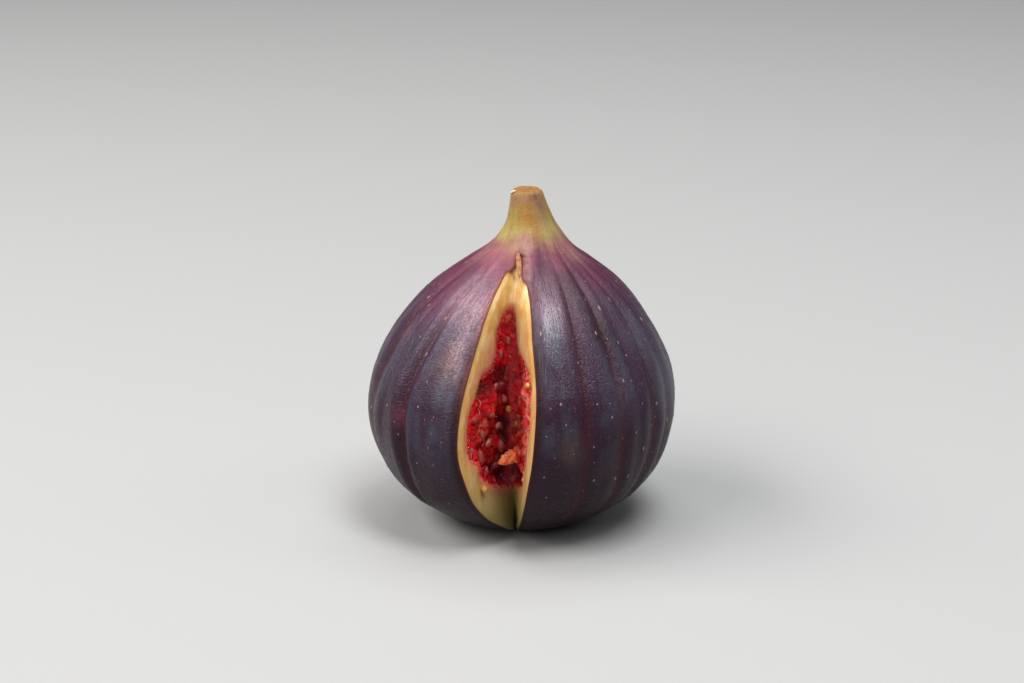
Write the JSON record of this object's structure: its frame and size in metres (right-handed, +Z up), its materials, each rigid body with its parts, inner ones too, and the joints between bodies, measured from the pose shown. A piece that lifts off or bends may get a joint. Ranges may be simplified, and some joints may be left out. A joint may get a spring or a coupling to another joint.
{
  "type": "fresh fig",
  "caption": "Ripe fresh fig standing on its base, pear-shaped with a short cut stem, with a slit cut down its front and pulled open to show the red flesh.",
  "frame": {"origin": "centre of the base that the fig stands on, under the middle of its box", "axes": "+Z up along the fruit towards the stem, -Y towards the viewer, out of the open slit, +X to the viewer's right"},
  "size_m": [0.052, 0.052, 0.057],
  "materials": {
    "skin": "waxy satin, dusky purple skin with a bluish bloom, pale lenticels and a yellow-green neck",
    "rind": "moist cream to ochre cut rind",
    "pulp": "wet, deep red translucent flesh",
    "seed": "tan to golden seeds, glossy where wet"
  },
  "bodies": {
    "root": {"fig": "skin"}
  },
  "joints": []
}
